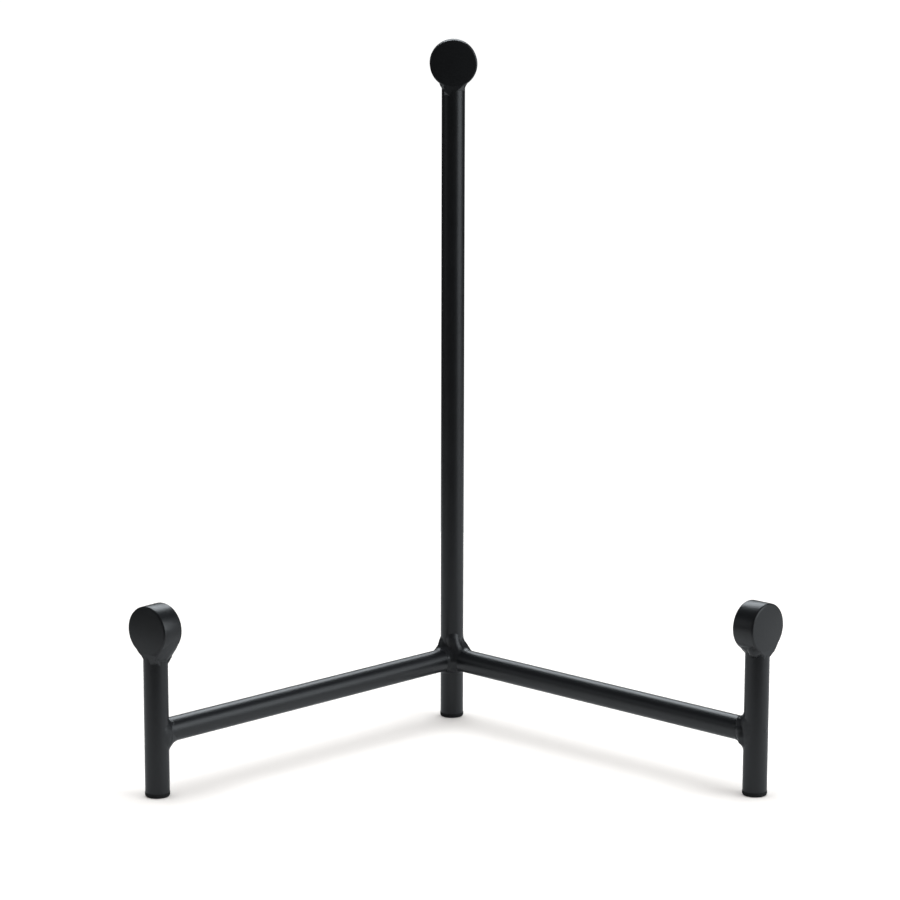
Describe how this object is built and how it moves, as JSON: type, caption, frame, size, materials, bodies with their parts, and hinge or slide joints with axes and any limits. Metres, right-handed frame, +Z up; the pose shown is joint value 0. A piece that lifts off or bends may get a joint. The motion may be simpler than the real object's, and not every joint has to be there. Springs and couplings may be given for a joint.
{
  "type": "plate display stand",
  "caption": "Welded round-bar display stand for a plate: a tall back post, level arms in a V to short front posts, and an edge-on disc on each post.",
  "frame": {"origin": "on the table, at the middle of the stand's plan, halfway between the foremost and rearmost points", "axes": "+Z up along the posts, -Y towards the front, where the plate faces, +X to the right seen from the front"},
  "size_m": [0.2633, 0.1376, 0.2977],
  "materials": {
    "powder_coat": "satin",
    "coated_weld": "satin",
    "foot_rubber": "matte"
  },
  "bodies": {
    "root": {"back_post": "powder_coat", "left_front_post": "powder_coat", "right_front_post": "powder_coat", "left_arm": "powder_coat", "right_arm": "powder_coat", "top_disc": "powder_coat", "left_disc": "powder_coat", "right_disc": "powder_coat", "left_hub_weld": "coated_weld", "right_hub_weld": "coated_weld", "left_arm_weld": "coated_weld", "right_arm_weld": "coated_weld", "top_disc_weld": "coated_weld", "left_disc_weld": "coated_weld", "right_disc_weld": "coated_weld", "back_foot": "foot_rubber", "left_foot": "foot_rubber", "right_foot": "foot_rubber"}
  },
  "joints": []
}
